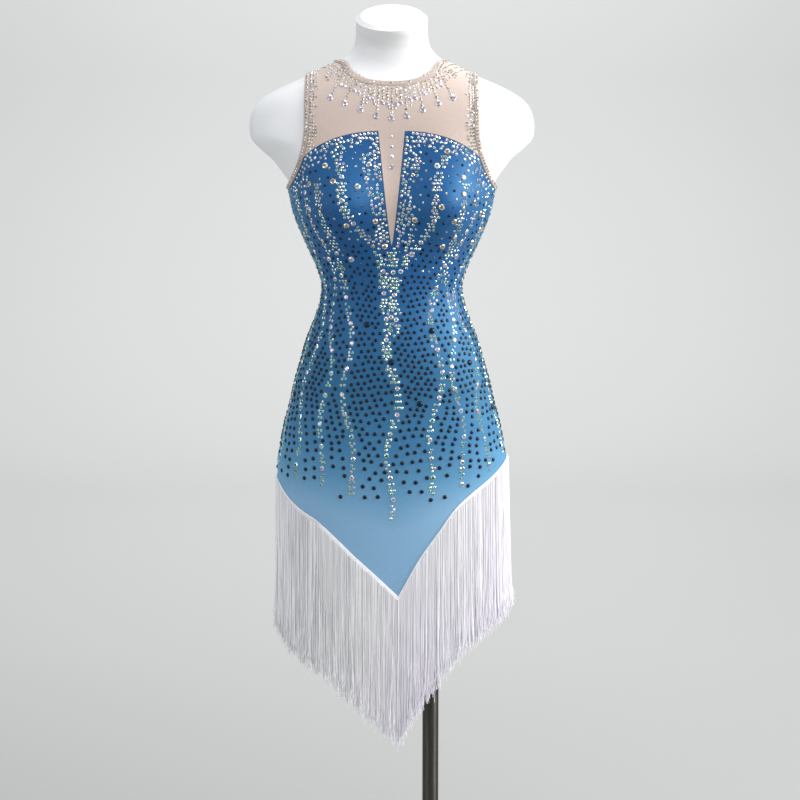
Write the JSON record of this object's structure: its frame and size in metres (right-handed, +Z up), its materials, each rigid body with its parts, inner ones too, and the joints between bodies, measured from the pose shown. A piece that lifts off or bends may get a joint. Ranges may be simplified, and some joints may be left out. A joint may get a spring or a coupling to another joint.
{
  "type": "fringe dress on a dress form",
  "caption": "Sleeveless stretch dress with sheer yoke, pointed hem and long hanging fringe, shown on a limbless dress form on a pole stand with a round base.",
  "frame": {"origin": "centre of the round base's underside, on the floor", "axes": "+Z up along the form's height, -Y the way the dress faces, +X the wearer's left"},
  "size_m": [0.4036, 0.3, 1.4662],
  "materials": {
    "blue_stretch": "satin stretch knit, shaded from royal blue to sky blue",
    "nude_mesh": "sheer stretch mesh",
    "white_fringe": "rayon fringe",
    "white_form": "satin white",
    "dark_steel": "dark gloss",
    "nude_button": "satin"
  },
  "bodies": {
    "root": {"form_torso": "white_form", "stand_pole": "dark_steel", "pole_flange": "dark_steel", "base_collar": "dark_steel", "base_plate": "dark_steel", "front_panel": "blue_stretch", "back_panel": "blue_stretch", "front_yoke": "nude_mesh", "back_yoke_left": "nude_mesh", "back_yoke_right": "nude_mesh", "armhole_binding_left": "nude_mesh", "armhole_binding_right": "nude_mesh", "neck_binding": "nude_mesh", "fringe_front": "white_fringe", "fringe_back": "white_fringe", "nape_button": "nude_button", "nape_loop": "nude_button"}
  },
  "joints": []
}
